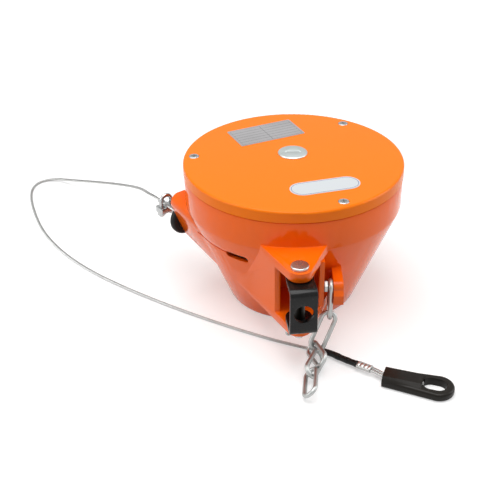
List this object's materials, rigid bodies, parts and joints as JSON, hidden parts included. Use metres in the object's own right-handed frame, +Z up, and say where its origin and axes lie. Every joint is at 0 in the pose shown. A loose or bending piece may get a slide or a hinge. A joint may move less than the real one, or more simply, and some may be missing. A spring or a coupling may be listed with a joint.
{
  "type": "tool balancer",
  "caption": "Spring balancer for hand tools: conical cast body with flat cover, side rope outlet, swinging suspension strap, safety chain and a wire rope ending in a moulded eye.",
  "frame": {"origin": "middle of the flat base, on the body's axis, where it stands on the floor", "axes": "+Z up along the body's axis, from the narrow base to the cover; the suspension bracket points to -Y; the rope outlet is on the -X side"},
  "size_m": [0.4196, 0.4061, 0.1384],
  "materials": {
    "black_plastic": "moulded",
    "black_steel": "black coating",
    "bright_zinc": "bright zinc plate",
    "bronze": "sintered bronze",
    "cap_plastic": "moulded",
    "drum_alu": "as cast",
    "ferrule_alu": "pressed",
    "label_film": "printed film",
    "orange_paint": "satin enamel on a die casting",
    "plate_alu": "brushed",
    "plated_steel": "zinc plated",
    "rope_steel": "stranded wire",
    "rubber_black": "moulded",
    "shrink_black": "heat-shrink tube"
  },
  "bodies": {
    "housing": {"housing": "orange_paint", "cover": "orange_paint", "cover_screws": "bright_zinc", "axle_cap": "cap_plastic", "rating_plate": "plate_alu", "side_label": "label_film", "base_bush": "bronze", "cover_bush": "bronze", "outlet_bush": "black_plastic", "rope_buffer": "rubber_black", "rope_lead": "rope_steel", "stop_clip": "bright_zinc", "stop_saddle": "bright_zinc", "stop_nuts": "bright_zinc", "rope_collar": "ferrule_alu", "rope": "rope_steel", "shrink_sleeve": "shrink_black", "rope_ferrule": "ferrule_alu", "rope_loop": "rope_steel", "rope_eye": "black_plastic", "suspension_pin": "bright_zinc", "split_pin": "plated_steel", "chain_bolt": "plated_steel"},
    "drum": {"rope_drum": "drum_alu", "drum_cover": "drum_alu", "drum_screws": "bright_zinc", "drum_lower_bush": "bronze", "drum_upper_bush": "bronze", "rope_windings": "rope_steel", "power_spring": "black_steel"},
    "axle": {"axle": "plated_steel", "spring_hub": "plated_steel", "worm_wheel": "bronze"},
    "worm": {"worm": "plated_steel"},
    "strap": {"suspension_strap": "black_steel"},
    "sleeve": {"pin_sleeve": "black_plastic"},
    "link_1": {"chain_link_1": "plated_steel"},
    "link_2": {"chain_link_2": "plated_steel"},
    "link_3": {"chain_link_3": "plated_steel"},
    "link_4": {"chain_link_4": "plated_steel"},
    "link_5": {"chain_link_5": "plated_steel"}
  },
  "joints": [
    {"name": "drum_spin", "type": "hinge", "parent": "housing", "child": "drum", "pos_m": [0, 0.011, 0.068], "axis": [0, 0, 1], "range_deg": [0, 1980]},
    {"name": "axle_turn", "type": "hinge", "parent": "housing", "child": "axle", "pos_m": [0, 0.011, 0.068], "axis": [0, 0, 1], "range_deg": [0, 240]},
    {"name": "worm_turn", "type": "hinge", "parent": "housing", "child": "worm", "pos_m": [0, 0.0405, 0.019], "axis": [1, 0, 0], "range_deg": [0, 8640]},
    {"name": "strap_swing", "type": "hinge", "parent": "housing", "child": "strap", "pos_m": [0, -0.1305, 0.072], "axis": [0, 0, 1], "range_deg": [-77, 63]},
    {"name": "sleeve_spin", "type": "hinge", "parent": "housing", "child": "sleeve", "pos_m": [0, -0.1305, 0.072], "axis": [0, 0, 1], "continuous": true},
    {"name": "link_1_swing", "type": "hinge", "parent": "housing", "child": "link_1", "pos_m": [0.02805, -0.103, 0.066], "axis": [1, 0, 0], "range_deg": [-30, 0]},
    {"name": "link_2_swing", "type": "hinge", "parent": "link_1", "child": "link_2", "pos_m": [0.02805, -0.103, 0.0346], "axis": [0, 1, 0], "range_deg": [0, 10]},
    {"name": "link_3_swing", "type": "hinge", "parent": "link_2", "child": "link_3", "pos_m": [0.01539, -0.11381, 0.00759], "axis": [-0.9203, 0.1718, 0.3514], "range_deg": [-10, 10]},
    {"name": "link_4_swing", "type": "hinge", "parent": "link_3", "child": "link_4", "pos_m": [0.02025, -0.14174, 0.01468], "axis": [0.4817, 0.3285, 0.8125], "range_deg": [-7, 3]},
    {"name": "link_5_swing", "type": "hinge", "parent": "link_4", "child": "link_5", "pos_m": [0.00827, -0.15252, 0.01077], "axis": [0.5554, -0.3034, -0.7743], "range_deg": [-8, 3]}
  ],
  "couplings": [
    {"joint": "worm_turn", "follows": "axle_turn", "ratio": 36}
  ]
}
